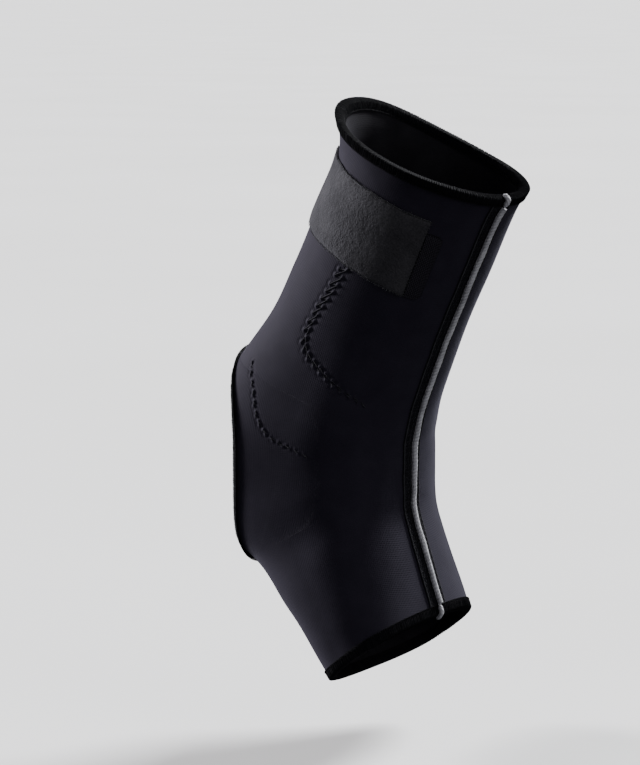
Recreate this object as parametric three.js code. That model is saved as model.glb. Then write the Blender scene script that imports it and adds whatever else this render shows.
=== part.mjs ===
// An open-heel, open-toe neoprene ankle brace for a right foot, in the shape it has when worn on tiptoe.
// Millimetres. +X points to the toes, +Y to the inner ankle, +Z up; the origin is the middle of the ankle,
// inside the sleeve. The sleeve mirrors across the XZ plane, and only the calf strap and its tab don't.
import * as THREE from "three";
import { mergeVertices } from "three/addons/utils/BufferGeometryUtils.js";

// Driving dimensions, in millimetres and degrees.
const LEG_LENGTH = 100; // bend's centre to the top mouth, along the leg
const FOOT_LENGTH = 42; // bend's centre to the toe mouth, along the sole
const LEG_LEAN = 27.5; // the leg's forward lean from upright
const FOOT_PITCH = 47.5; // the sole's slope below level
const LEG_DEPTH = 74; // the leg's tube, front to back, outside
const LEG_WIDTH = 74; // the leg's tube, side to side, outside
const FOOT_DEPTH = 74; // instep bend to sole, outside
const FOOT_WIDTH = 92; // the toe mouth, side to side, outside
const BEND_RADIUS = 27.7; // the bend in front of the ankle
const BEND_FORWARD = 70.6; // the bend's centre, in front of the origin
const HEEL_REACH = 93.2; // the bend's centre to the foremost of the heel mouth's edge
const HEEL_HALF_HEIGHT = 32; // of the heel mouth, above and below the bend's centre
const HEEL_BOW_ABOVE = 7.5; // how far back its edge curves at the half height above
const HEEL_BOW_BELOW = 1;
const WALL = 2.8; // neoprene with its two facings
const SEAM_GAP = 0.8; // between the sheet's two edges, under the front tape
const CLEARANCE = 0.3; // between pieces that touch
const BINDING_WALL = 0.6;
const RIM_BINDING_DEPTH = 3; // how far the top and toe bindings reach over the wall
const HEEL_BINDING_DEPTH = 2.2;
const HEEL_BINDING_CLEARANCE = 0.7; // wider, because the wall curves both ways under it
const TAPE_WIDTH = 11;
const TAPE_WALL = 0.8;
const PIPING_WIDTH = 2.1;
const PIPING_HEIGHT = 1.9;
const PIPING_EDGE = 0.7; // its thickness at the sides
const SEAM_ASIDE_TOP = 6; // from the front's middle to the tape's, towards the outer side
const SEAM_ASIDE_TOE = 0.3;
const STRAP_WIDTH = 33;
const STRAP_WALL = 1.2;
const STRAP_BELOW_TOP = 15.5; // top mouth to the strap's upper edge
const STRAP_END_ANGLE = 53; // round the leg from the front seam, outer side
const STRAP_ANCHOR_ANGLE = 62; // the same, inner side
const TAB_LENGTH = 8;
const TAB_WIDTH = 28;
const TAB_WALL = 0.8;

// The sleeve's sections, from the top mouth to the toe mouth.
// leg, foot: shares of LEG_LENGTH above the bend and of FOOT_LENGTH beyond it.
// turn: share of the way round the bend, from square to the leg to square to the foot.
// front, widest, back: shares of the depth, from the bend's arc towards the calf or sole.
// side: share of the half width. nose, tail: roundness of the front and back halves, 1 for an ellipse.
// droop: share of the half width by which the wall sinks towards the foot behind each side.
const COLUMNS = ["leg", "foot", "turn", "front", "widest", "back", "side", "nose", "tail", "droop"];
const SECTIONS = [
  [1, 0, 0, 0.1, 0.62, 1.22, 1.09, 0.9, 0.9, 0.07],
  [0.91, 0, 0, 0.115, 0.6, 1.14, 1.05, 0.87, 0.94, 0.04],
  [0.8, 0, 0, 0.115, 0.58, 1.1, 1.04, 0.86, 0.97, 0.02],
  [0.585, 0, 0, 0.105, 0.56, 1.09, 1.03, 0.83, 0.98, 0],
  [0.325, 0, 0, 0.085, 0.54, 1.08, 1, 0.81, 0.96, 0],
  [0.08, 0, 0.02, 0.05, 0.52, 1.07, 1, 0.79, 0.8, 0],
  [0, 0, 0.22, 0.025, 0.52, 1.18, 1.02, 0.76, 0.64, 0],
  [0, 0, 0.42, 0.03, 0.54, 1.37, 0.99, 0.74, 0.72, 0],
  [0, 0, 0.62, 0.05, 0.56, 1.28, 0.95, 0.72, 0.72, 0],
  [0, 0, 0.82, 0.1, 0.6, 1.06, 0.91, 0.74, 0.74, 0],
  [0, 0.06, 0.99, 0.19, 0.65, 1.01, 0.93, 0.78, 0.73, 0],
  [0, 0.52, 0.99, 0.31, 0.7, 1, 0.97, 0.82, 0.71, 0],
  [0, 1, 0.95, 0.42, 0.74, 1, 1.01, 0.86, 0.7, 0],
];
const LEG_RIBS = 13; // sections in the leg above the heel mouth
const HEEL_RIBS = 18; // sections across the heel mouth
const FOOT_RIBS = 7; // sections in the foot beyond it
const HALF_COLUMNS = 16; // points round each half section
const RIM_POINTS = 40; // points round the top and toe bindings
const STRAP_ROWS = 5;
const STRAP_COLUMNS = 26;
const TAB_ROWS = 4;
const TAB_COLUMNS = 3;
const STRIP_COLUMNS = 4;
const BISECTIONS = 30;
const HEEL_MIDDLE = 7.5; // a place among the sections, in the middle of the heel mouth
const RIB_GAP = 0.1; // the least gap from the ends of the tape to its next rib, in sections

const degrees = THREE.MathUtils.degToRad;
const mix = THREE.MathUtils.lerp;
const vector = (x, y, z) => new THREE.Vector3(x, y, z);
const count = (n, make) => Array.from({ length: n }, (_, i) => make(i));
const LAST = SECTIONS.length - 1;
const LEG_AXIS = vector(Math.sin(degrees(LEG_LEAN)), 0, Math.cos(degrees(LEG_LEAN)));
const FOOT_AXIS = vector(Math.cos(degrees(FOOT_PITCH)), 0, -Math.sin(degrees(FOOT_PITCH)));

// One column of SECTIONS at a place t along the rows, on a smooth curve through them.
function column(name, t) {
  const row = THREE.MathUtils.clamp(Math.floor(t), 0, LAST - 1);
  const at = (i) => SECTIONS[THREE.MathUtils.clamp(i, 0, LAST)][COLUMNS.indexOf(name)];
  const [a, b, c, d] = [at(row - 1), at(row), at(row + 1), at(row + 2)];
  const u = t - row;
  const bend = 2 * a - 5 * b + 4 * c - d;
  const twist = 3 * (b - c) + d - a;
  return b + 0.5 * u * (c - a + u * (bend + u * twist));
}

// The section at t: its base at or level with the bend's centre, the direction towards the front
// and its sizes.
function sectionAt(t) {
  const turn = column("turn", t);
  const angle = degrees(mix(-LEG_LEAN, 90 - FOOT_PITCH, turn));
  const base = vector(BEND_FORWARD, 0, 0)
    .addScaledVector(LEG_AXIS, column("leg", t) * LEG_LENGTH)
    .addScaledVector(FOOT_AXIS, column("foot", t) * FOOT_LENGTH);
  const depth = mix(LEG_DEPTH, FOOT_DEPTH, turn);
  return {
    base,
    forward: vector(Math.cos(angle), 0, Math.sin(angle)),
    front: BEND_RADIUS + column("front", t) * depth,
    widest: BEND_RADIUS + column("widest", t) * depth,
    back: BEND_RADIUS + column("back", t) * depth,
    side: (column("side", t) * mix(LEG_WIDTH, FOOT_WIDTH, turn)) / 2,
    nose: column("nose", t),
    tail: column("tail", t),
    droop: (column("droop", t) * LEG_WIDTH) / 2,
  };
}

// A point of a section at an angle from the front, positive round the outer side of the ankle,
// lifted off the sleeve's outer face by lift.
function sectionPoint(s, angle, lift = 0) {
  const c = Math.cos(angle);
  const round = c > 0 ? s.nose : s.tail;
  const reach = (c > 0 ? s.widest - s.front : s.back - s.widest) + lift;
  const inward = s.widest - Math.sign(c) * reach * Math.abs(c) ** round;
  const sine = Math.sin(angle);
  const aside = Math.sign(sine) * (s.side + lift) * Math.abs(sine) ** round;
  const sink = s.droop * sine ** 2 * (1 - c);
  return s.base.clone()
    .addScaledVector(s.forward, -inward)
    .addScaledVector(LEG_AXIS, -sink)
    .add(vector(0, -aside, 0));
}

// The angle at which a section's front half is a given distance from the middle.
const angleAside = (s, aside) => Math.sign(aside) * Math.asin((Math.abs(aside) / s.side) ** (1 / s.nose));

// The last place on the way from one to another before a test holds.
function placeWhere(from, to, test) {
  let [low, high] = [from, to];
  for (let i = 0; i < BISECTIONS; i++) {
    const middle = (low + high) / 2;
    if (test(middle)) high = middle;
    else low = middle;
  }
  return low;
}

// How far round a section reaches before the heel mouth cuts it: pi where it doesn't.
// The mouth's edge lies on a sheet that curves back above and below the ankle.
function heelAngle(s) {
  const behind = (angle) => {
    const p = sectionPoint(s, angle);
    const bow = p.z > 0 ? HEEL_BOW_ABOVE : HEEL_BOW_BELOW;
    return p.x < BEND_FORWARD - HEEL_REACH - bow * (p.z / HEEL_HALF_HEIGHT) ** 2;
  };
  return behind(Math.PI) ? placeWhere(Math.PI / 2, Math.PI, behind) : Math.PI;
}

const opensAt = (t) => heelAngle(sectionAt(t)) < Math.PI;
const HEEL_TOP = placeWhere(0, HEEL_MIDDLE, opensAt);
const HEEL_BOTTOM = placeWhere(LAST, HEEL_MIDDLE, opensAt);
const legLeft = (t) => LEG_LENGTH - column("leg", t) * LEG_LENGTH;
const footLeft = (t) => FOOT_LENGTH - column("foot", t) * FOOT_LENGTH;
const belowTop = (length) => placeWhere(0, LAST, (t) => legLeft(t) > length);
const aboveToe = (length) => placeWhere(0, LAST, (t) => footLeft(t) < length);

// Places of the sleeve's sections, closer together at the ends of the heel mouth.
const eased = (share) => (1 - Math.cos(Math.PI * share)) / 2;
const places = [
  ...count(LEG_RIBS, (i) => (HEEL_TOP * i) / LEG_RIBS),
  ...count(HEEL_RIBS, (i) => mix(HEEL_TOP, HEEL_BOTTOM, eased(i / HEEL_RIBS))),
  ...count(FOOT_RIBS + 1, (i) => mix(HEEL_BOTTOM, LAST, i / FOOT_RIBS)),
];
const ribs = places.map(sectionAt);

// Triangles for a grid of points, seen anticlockwise when rows run right and columns run up.
function addGrid(triangles, grid) {
  for (let i = 0; i + 1 < grid.length; i++)
    for (let j = 0; j + 1 < grid[i].length; j++) {
      const [a, b, c, d] = [grid[i][j], grid[i + 1][j], grid[i + 1][j + 1], grid[i][j + 1]];
      triangles.push(a, b, c, a, c, d);
    }
}

const flipped = (grid) => grid.map((row) => [...row].reverse());

// A sheet with thickness, from the grids of its outer and inner faces.
function slab(outer, inner) {
  const triangles = [];
  addGrid(triangles, outer);
  addGrid(triangles, flipped(inner));
  addGrid(triangles, [inner[0], outer[0]]);
  addGrid(triangles, [outer.at(-1), inner.at(-1)]);
  addGrid(triangles, outer.map((row, i) => [inner[i][0], row[0]]));
  addGrid(triangles, outer.map((row, i) => [row.at(-1), inner[i].at(-1)]));
  return triangles;
}

function geometryOf(triangles) {
  const kept = [];
  for (let i = 0; i < triangles.length; i += 3) {
    const [a, b, c] = triangles.slice(i, i + 3);
    if (a.distanceTo(b) > 1e-3 && b.distanceTo(c) > 1e-3 && c.distanceTo(a) > 1e-3) kept.push(a, b, c);
  }
  const geometry = mergeVertices(new THREE.BufferGeometry().setFromPoints(kept), 1e-3);
  geometry.computeVertexNormals();
  return geometry;
}

// The outer half of the sleeve is one sheet from the front seam to the back or the heel mouth,
// and the inner half mirrors it.
function sleeve() {
  const grid = (lift) =>
    ribs.map((s) => {
      const first = angleAside(s, SEAM_GAP / 2);
      const cut = Math.PI - heelAngle(s);
      return count(HALF_COLUMNS + 1, (j) => {
        const share = j / HALF_COLUMNS;
        return sectionPoint(s, mix(first, Math.PI, share) - cut * share ** 2, lift);
      });
    });
  const outer = grid(0);
  const inner = grid(-WALL);
  const half = [];
  addGrid(half, flipped(outer));
  addGrid(half, inner);
  addGrid(half, [outer[0], inner[0]]);
  addGrid(half, [inner.at(-1), outer.at(-1)]);
  addGrid(half, outer.map((row, i) => [row[0], inner[i][0]]));
  for (let i = LEG_RIBS; i < LEG_RIBS + HEEL_RIBS; i++)
    addGrid(half, [i, i + 1].map((k) => [inner[k].at(-1), outer[k].at(-1)]));
  const mirrored = [];
  for (let i = 0; i < half.length; i += 3)
    mirrored.push(...[half[i], half[i + 2], half[i + 1]].map((p) => vector(p.x, -p.y, p.z)));
  return geometryOf([...half, ...mirrored]);
}

// A binding folded over an edge of the wall. Each stop of its route has the outer and inner points
// of the edge and of a line of the wall further in, by the binding's depth.
function binding(stops, depth, near) {
  const far = near + BINDING_WALL;
  const fold = BINDING_WALL;
  const profile = [
    [-far, depth], [-far, fold - far], [fold - far, -far], [WALL + far - fold, -far],
    [WALL + far, fold - far], [WALL + far, depth], [WALL + near, depth], [WALL + near, -near],
    [-near, -near], [-near, depth],
  ];
  const loops = stops.map(({ edge, deep }) =>
    profile.map(([through, along]) => {
      const at = ([outer, inner]) => outer.clone().lerp(inner, through / WALL);
      return at(edge).lerp(at(deep), along / depth);
    }),
  );
  const triangles = [];
  addGrid(triangles, [...loops, loops[0]].map((loop) => [...loop, loop[0]]));
  return geometryOf(triangles);
}

const wallAt = (s, angle) => [sectionPoint(s, angle), sectionPoint(s, angle, -WALL)];

function rimBinding(edgeAt, deepAt, direction) {
  const [edge, deep] = [sectionAt(edgeAt), sectionAt(deepAt)];
  const stops = count(RIM_POINTS, (i) => {
    const angle = (direction * 2 * Math.PI * i) / RIM_POINTS;
    return { edge: wallAt(edge, angle), deep: wallAt(deep, angle) };
  });
  return binding(stops, RIM_BINDING_DEPTH, CLEARANCE);
}

// The heel binding goes up the outer edge of the heel mouth and down the inner one. Its depth runs
// along the wall, square to the edge and away from the middle of the mouth.
function heelBinding() {
  const centre = (HEEL_TOP + HEEL_BOTTOM) / 2;
  const away = 1.05; // a little further from the middle than the edge
  const open = places.slice(LEG_RIBS, LEG_RIBS + HEEL_RIBS + 1);
  const outerSide = open.map((t) => {
    const angle = heelAngle(sectionAt(t));
    const beyond = sectionAt(mix(centre, t, away));
    return { edge: wallAt(sectionAt(t), angle), beyond: sectionPoint(beyond, mix(Math.PI, angle, away)) };
  });
  const mirror = (p) => vector(p.x, -p.y, p.z);
  const innerSide = outerSide
    .slice(1, -1)
    .reverse()
    .map(({ edge, beyond }) => ({ edge: edge.map(mirror), beyond: mirror(beyond) }));
  const route = [...outerSide, ...innerSide].reverse();
  const stops = route.map(({ edge, beyond }, i) => {
    const next = route[(i + 1) % route.length].edge[0];
    const before = route.at(i - 1).edge[0];
    const along = next.clone().sub(before).normalize();
    const into = beyond.clone().sub(edge[0]);
    into.addScaledVector(along, -into.dot(along)).setLength(HEEL_BINDING_DEPTH);
    return { edge, deep: edge.map((p) => p.clone().add(into)) };
  });
  return binding(stops, HEEL_BINDING_DEPTH, HEEL_BINDING_CLEARANCE);
}

// The tape and the piping run down the front between the two rim bindings.
const tapeStart = belowTop(RIM_BINDING_DEPTH + CLEARANCE);
const tapeEnd = aboveToe(RIM_BINDING_DEPTH + CLEARANCE);
const underTape = (t) => t > tapeStart + RIB_GAP && t < tapeEnd - RIB_GAP;
const tapePlaces = [tapeStart, ...places.filter(underTape), tapeEnd];

function frontStrip(width, lower, upper) {
  const grid = (lift) =>
    tapePlaces.map((t) => {
      const s = sectionAt(t);
      const middle = mix(SEAM_ASIDE_TOP, SEAM_ASIDE_TOE, t / LAST);
      return count(STRIP_COLUMNS + 1, (j) => {
        const share = (2 * j) / STRIP_COLUMNS - 1;
        return sectionPoint(s, angleAside(s, middle - (share * width) / 2), lift(share));
      });
    });
  return geometryOf(slab(grid(upper), grid(() => lower)));
}

const TAPE_TOP = CLEARANCE + TAPE_WALL;
const PIPING_BASE = TAPE_TOP + CLEARANCE;
const pipingLift = (share) => PIPING_BASE + mix(PIPING_EDGE, PIPING_HEIGHT, Math.sqrt(1 - share * share));

// A patch on the outside of the leg, between two distances below the top mouth and two angles.
function legPatch(from, to, first, last, rows, columns, wall) {
  const grid = (lift) =>
    count(rows + 1, (i) => {
      const s = sectionAt(belowTop(mix(from, to, i / rows)));
      return count(columns + 1, (j) => sectionPoint(s, degrees(mix(last, first, j / columns)), lift));
    });
  return geometryOf(slab(grid(CLEARANCE + wall), grid(CLEARANCE)));
}

const brace = new THREE.Group();
function add(name, geometry, color, roughness) {
  const mesh = new THREE.Mesh(geometry, new THREE.MeshStandardMaterial({ color, roughness, metalness: 0 }));
  mesh.name = name;
  brace.add(mesh);
}

const BLACK = 0x14141a;
const NAVY_BLACK = 0x1c1c26;
const GREY = 0x55565c;
const LIGHT_GREY = 0xb4b6bc;
const STRAP_BOTTOM = STRAP_BELOW_TOP + STRAP_WIDTH;
const gapAngle = THREE.MathUtils.radToDeg(CLEARANCE / (LEG_WIDTH / 2));
const tabAngle = THREE.MathUtils.radToDeg(TAB_LENGTH / (LEG_WIDTH / 2));
const tabStart = STRAP_END_ANGLE - 2 * gapAngle;
add("sleeve", sleeve(), NAVY_BLACK, 0.85);
add("top_binding", rimBinding(0, belowTop(RIM_BINDING_DEPTH), -1), BLACK, 0.9);
add("toe_binding", rimBinding(LAST, aboveToe(RIM_BINDING_DEPTH), 1), BLACK, 0.9);
add("heel_binding", heelBinding(), BLACK, 0.9);
add("seam_tape", frontStrip(TAPE_WIDTH, CLEARANCE, () => TAPE_TOP), BLACK, 0.8);
add("seam_piping", frontStrip(PIPING_WIDTH, PIPING_BASE, pipingLift), LIGHT_GREY, 0.7);
const strapLast = 360 - STRAP_ANCHOR_ANGLE;
const strap = legPatch(
  STRAP_BELOW_TOP, STRAP_BOTTOM, STRAP_END_ANGLE, strapLast, STRAP_ROWS, STRAP_COLUMNS, STRAP_WALL,
);
add("calf_strap", strap, GREY, 0.95);
const tab = legPatch(
  STRAP_BOTTOM - TAB_WIDTH, STRAP_BOTTOM, tabStart - tabAngle, tabStart, TAB_ROWS, TAB_COLUMNS, TAB_WALL,
);
add("hook_tab", tab, BLACK, 0.95);

export default brace;
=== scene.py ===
import math

import bmesh
import bpy
import numpy as np
from mathutils import Matrix, Vector


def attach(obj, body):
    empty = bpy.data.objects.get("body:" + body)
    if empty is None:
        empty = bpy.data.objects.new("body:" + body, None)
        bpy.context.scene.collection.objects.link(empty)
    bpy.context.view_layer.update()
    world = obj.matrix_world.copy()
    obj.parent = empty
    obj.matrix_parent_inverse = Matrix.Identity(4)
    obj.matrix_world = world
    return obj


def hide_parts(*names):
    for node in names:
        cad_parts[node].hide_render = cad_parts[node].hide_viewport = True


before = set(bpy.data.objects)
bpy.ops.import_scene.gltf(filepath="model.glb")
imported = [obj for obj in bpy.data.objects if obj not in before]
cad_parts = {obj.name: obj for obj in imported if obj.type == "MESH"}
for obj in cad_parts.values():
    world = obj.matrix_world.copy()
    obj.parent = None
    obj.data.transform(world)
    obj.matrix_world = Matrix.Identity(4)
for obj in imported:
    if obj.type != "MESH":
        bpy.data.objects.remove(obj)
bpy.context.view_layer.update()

# Driving dimensions, the same as the solids'.
LEG_LENGTH = 100
FOOT_LENGTH = 42
LEG_LEAN = 27.5
FOOT_PITCH = 47.5
LEG_DEPTH = 74
LEG_WIDTH = 74
FOOT_DEPTH = 74
FOOT_WIDTH = 92
BEND_RADIUS = 27.7
BEND_FORWARD = 70.6
HEEL_REACH = 93.2
HEEL_BOW_ABOVE = 7.5
HEEL_BOW_BELOW = 1
HEEL_HALF_HEIGHT = 32
WALL = 2.8
SEAM_GAP = 0.8
RIM_BINDING_DEPTH = 3
HEEL_BINDING_DEPTH = 2.2
TAPE_WIDTH = 11
TAPE_TOP = 1.1
PIPING_WIDTH = 2.1
PIPING_BASE = 1.4
PIPING_HEIGHT = 1.9
SEAM_ASIDE_TOP = 6
SEAM_ASIDE_TOE = 0.3
STRAP_WIDTH = 33
STRAP_WALL = 1.2
STRAP_BELOW_TOP = 15.5
STRAP_END_ANGLE = 53
STRAP_ANCHOR_ANGLE = 62
TAB_LENGTH = 8
TAB_WIDTH = 28
TAB_WALL = 0.8
CLEARANCE = 0.3

# The sleeve's sections from the top mouth to the toe mouth, the same as the solids'.
COLUMNS = ("leg", "foot", "turn", "front", "widest", "back", "side", "nose", "tail", "droop")
SECTIONS = np.array([
    (1, 0, 0, 0.1, 0.62, 1.22, 1.09, 0.9, 0.9, 0.07),
    (0.91, 0, 0, 0.115, 0.6, 1.14, 1.05, 0.87, 0.94, 0.04),
    (0.8, 0, 0, 0.115, 0.58, 1.1, 1.04, 0.86, 0.97, 0.02),
    (0.585, 0, 0, 0.105, 0.56, 1.09, 1.03, 0.83, 0.98, 0),
    (0.325, 0, 0, 0.085, 0.54, 1.08, 1, 0.81, 0.96, 0),
    (0.08, 0, 0.02, 0.05, 0.52, 1.07, 1, 0.79, 0.8, 0),
    (0, 0, 0.22, 0.025, 0.52, 1.18, 1.02, 0.76, 0.64, 0),
    (0, 0, 0.42, 0.03, 0.54, 1.37, 0.99, 0.74, 0.72, 0),
    (0, 0, 0.62, 0.05, 0.56, 1.28, 0.95, 0.72, 0.72, 0),
    (0, 0, 0.82, 0.1, 0.6, 1.06, 0.91, 0.74, 0.74, 0),
    (0, 0.06, 0.99, 0.19, 0.65, 1.01, 0.93, 0.78, 0.73, 0),
    (0, 0.52, 0.99, 0.31, 0.7, 1, 0.97, 0.82, 0.71, 0),
    (0, 1, 0.95, 0.42, 0.74, 1, 1.01, 0.86, 0.7, 0),
])
LAST = len(SECTIONS) - 1
HEEL_MIDDLE = 7.5  # a place among the sections that the heel mouth opens
BISECTIONS = 30

LEG_AXIS = np.array([math.sin(math.radians(LEG_LEAN)), 0, math.cos(math.radians(LEG_LEAN))])
FOOT_AXIS = np.array([math.cos(math.radians(FOOT_PITCH)), 0, -math.sin(math.radians(FOOT_PITCH))])


def between(a, b, c, d, u):
    """A smooth curve through four values, at a share u of the way from the second to the third."""
    return b + 0.5 * u * (c - a + u * (2 * a - 5 * b + 4 * c - d + u * (3 * (b - c) + d - a)))


def column(name, t):
    """One column of SECTIONS at places t along its rows, on a smooth curve through them."""
    values = SECTIONS[:, COLUMNS.index(name)]
    row = np.clip(np.floor(t), 0, LAST - 1).astype(int)
    a, b, c, d = (values[np.clip(row + k, 0, LAST)] for k in (-1, 0, 1, 2))
    return between(a, b, c, d, t - row)


# The ankle bones under the cloth: place along the sections, angle in degrees and height of each.
ANKLE_BONES = ((5.7, 72, 1.7), (5.4, -76, 1.4))
BONE_LENGTH = 1.25  # in sections
BONE_WIDTH = 26  # degrees

# The worn cloth's shallow waves: their heights, and how near a rim and the seam they die out.
BROAD_WAVES = 0.12
SLANTED_WAVES = 0.06
NARROW_WAVES = 0.05
RIM_CALM = 0.6  # in sections
SEAM_CALM = 0.35  # radians


def relief(t, angle):
    """How far the worn fabric swells or sinks from its plain form, at places t and angles."""
    angle = np.arctan2(np.sin(angle), np.cos(angle))
    waves = BROAD_WAVES * np.sin(2.1 * t + 2 * np.sin(angle)) * np.cos(3 * angle - 0.7 * t)
    waves = waves + SLANTED_WAVES * np.sin(4.3 * t - 2 * angle + 1)
    waves = waves + NARROW_WAVES * np.sin(7 * angle + 2.3 * t)
    for centre, round_to, height in ANKLE_BONES:
        aside = (angle - math.radians(round_to)) / math.radians(BONE_WIDTH)
        waves = waves + height * np.exp(-((t - centre) / BONE_LENGTH) ** 2 - aside ** 2)
    rims = np.clip(np.minimum(t, LAST - t) / RIM_CALM, 0, 1)
    front = np.clip(np.abs(angle) / SEAM_CALM, 0, 1)
    return waves * rims * front


def surface(t, angle, lift=0.0):
    """Points of the sleeve's outer face at places t and angles from the front, lifted off it."""
    t, angle, lift = np.broadcast_arrays(np.asarray(t, float), angle, lift)
    lift = lift + relief(t, angle)
    turn = column("turn", t)
    heading = np.radians(-LEG_LEAN + turn * (90 - FOOT_PITCH + LEG_LEAN))
    depth = LEG_DEPTH + turn * (FOOT_DEPTH - LEG_DEPTH)
    width = LEG_WIDTH + turn * (FOOT_WIDTH - LEG_WIDTH)
    front, widest, back = (BEND_RADIUS + column(k, t) * depth for k in ("front", "widest", "back"))
    side = column("side", t) * width / 2
    cos, sin = np.cos(angle), np.sin(angle)
    power = np.where(cos > 0, column("nose", t), column("tail", t))
    reach = np.where(cos > 0, widest - front, back - widest) + lift
    inward = widest - np.sign(cos) * reach * np.abs(cos) ** power
    aside = np.sign(sin) * (side + lift) * np.abs(sin) ** power
    sink = column("droop", t) * LEG_WIDTH / 2 * sin ** 2 * (1 - cos)
    forward = np.stack([np.cos(heading), np.zeros_like(heading), np.sin(heading)], -1)
    base = np.array([BEND_FORWARD, 0, 0]) + (column("leg", t) * LEG_LENGTH)[..., None] * LEG_AXIS
    base = base + (column("foot", t) * FOOT_LENGTH)[..., None] * FOOT_AXIS
    points = base - forward * inward[..., None] - sink[..., None] * LEG_AXIS
    points[..., 1] -= aside
    return points


def angle_aside(t, aside):
    """The angle at which the front of the section at t is a distance aside from the middle."""
    width = LEG_WIDTH + column("turn", t) * (FOOT_WIDTH - LEG_WIDTH)
    side = column("side", t) * width / 2
    return np.sign(aside) * np.arcsin((np.abs(aside) / side) ** (1 / column("nose", t)))


def heel_angle(t):
    """How far round the section at t reaches before the heel mouth cuts it: pi where it doesn't."""
    t = np.asarray(t, float)

    def behind(angle):
        """Whether the points at these angles lie in the heel mouth, behind its bowed edge."""
        p = surface(t, angle)
        bow = np.where(p[..., 2] > 0, HEEL_BOW_ABOVE, HEEL_BOW_BELOW)
        return p[..., 0] < BEND_FORWARD - HEEL_REACH - bow * (p[..., 2] / HEEL_HALF_HEIGHT) ** 2

    low, high = np.full(t.shape, math.pi / 2), np.full(t.shape, math.pi)
    closed = ~behind(high)
    for _ in range(BISECTIONS):
        middle = (low + high) / 2
        cut = behind(middle)
        low, high = np.where(cut, low, middle), np.where(cut, middle, high)
    return np.where(closed, math.pi, low)


# Places close together, among which distances along the leg and the foot are looked up.
FINE = np.linspace(0, LAST, 4001)


def below_top(length):
    """The place at a distance below the top mouth, along the leg."""
    falling = column("leg", FINE)
    return np.interp(np.asarray(length, float) / LEG_LENGTH, 1 - falling, FINE)


def above_toe(length):
    """The place at a distance above the toe mouth, along the sole."""
    beyond = FINE[FINE > HEEL_MIDDLE]
    return np.interp(1 - np.asarray(length, float) / FOOT_LENGTH, column("foot", beyond), beyond)


def mouth_end(closed, opened):
    """The last place on the way from a closed section to an opened one where the back is closed."""
    for _ in range(BISECTIONS):
        middle = (closed + opened) / 2
        if heel_angle(middle) < math.pi:
            opened = middle
        else:
            closed = middle
    return closed


HEEL_TOP, HEEL_BOTTOM = mouth_end(0, HEEL_MIDDLE), mouth_end(LAST, HEEL_MIDDLE)


def unit(v):
    """Vectors made one long."""
    return v / np.maximum(np.linalg.norm(v, axis=-1, keepdims=True), 1e-12)


# Mesh making.
class Shape:
    """Points and faces that grow piece by piece, with a place on the cloth for each point."""

    def __init__(self):
        self.points, self.cloth, self.faces, self.size = [], [], [], 0

    def add(self, points, cloth):
        """Adds an array of points with their places on the cloth, and returns their numbers."""
        points = np.asarray(points, float)
        numbers = self.size + np.arange(points[..., 0].size).reshape(points.shape[:-1])
        self.points.append(points.reshape(-1, 3))
        self.cloth.append(cloth.reshape(-1, 2))
        self.size += numbers.size
        return numbers

    def grid(self, n, flip=False):
        """Faces between the points of a grid of numbers."""
        quads = np.stack([n[:-1, :-1], n[1:, :-1], n[1:, 1:], n[:-1, 1:]], -1).reshape(-1, 4)
        self.faces += (quads[:, ::-1] if flip else quads).tolist()

    def bridge(self, many, few, flip=False):
        """Faces between a row of points and another row with a whole share of as many."""
        ratio = (len(many) - 1) // (len(few) - 1)
        for k in range(len(few) - 1):
            fan = [few[k], *many[k * ratio:(k + 1) * ratio + 1], few[k + 1]]
            self.faces.append([int(i) for i in (fan[::-1] if flip else fan)])


def make_object(name, shape, material, node, weld=0.0, lining=None, lined=()):
    """One smooth-shaded piece of the brace, which rides on its body and stands for a solid.

    Points closer than weld are joined, and the faces numbered in lined take the lining."""
    points = np.concatenate(shape.points) / 1000
    mesh = bpy.data.meshes.new(name)
    mesh.from_pydata(points.tolist(), [], shape.faces)
    layer = mesh.uv_layers.new(name="cloth")
    corners = np.empty(len(mesh.loops), int)
    mesh.loops.foreach_get("vertex_index", corners)
    layer.uv.foreach_set("vector", np.concatenate(shape.cloth)[corners].astype(np.float32).ravel())
    for face in lined:
        mesh.polygons[face].material_index = 1
    if weld:
        work = bmesh.new()
        work.from_mesh(mesh)
        bmesh.ops.remove_doubles(work, verts=work.verts, dist=weld / 1000)
        work.to_mesh(mesh)
        work.free()
    mesh.validate()
    mesh.polygons.foreach_set("use_smooth", [True] * len(mesh.polygons))
    mesh.materials.append(material)
    if lining:
        mesh.materials.append(lining)
    piece = bpy.data.objects.new(name, mesh)
    bpy.context.scene.collection.objects.link(piece)
    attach(piece, "root")
    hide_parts(node)
    return piece


def lengths(points, axis):
    """Running lengths along one axis of a grid of points."""
    steps = np.linalg.norm(np.diff(points, axis=axis), axis=-1)
    start = np.zeros_like(np.take(steps, [0], axis))
    return np.concatenate([start, np.cumsum(steps, axis)], axis)


def cloth_of(points):
    """Where each point of a grid lies on the flat cloth: across and along it."""
    return np.stack([lengths(points, 1), lengths(points, 0)], -1)


def slab(shape, top, bottom):
    """Adds a sheet with thickness, from the grids of its two faces."""
    upper = shape.add(top, cloth_of(top))
    lower = shape.add(bottom, cloth_of(bottom))
    shape.grid(upper, flip=True)
    shape.grid(lower)
    shape.grid(np.stack([upper[0], lower[0]]), flip=True)
    shape.grid(np.stack([upper[-1], lower[-1]]))
    shape.grid(np.stack([upper[:, 0], lower[:, 0]]))
    shape.grid(np.stack([upper[:, -1], lower[:, -1]]), flip=True)


THREAD_SIDES = 5
THREAD_STEPS = 8
TIP = 0.45  # a thread's radius at its ends, as a share of its radius


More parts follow.
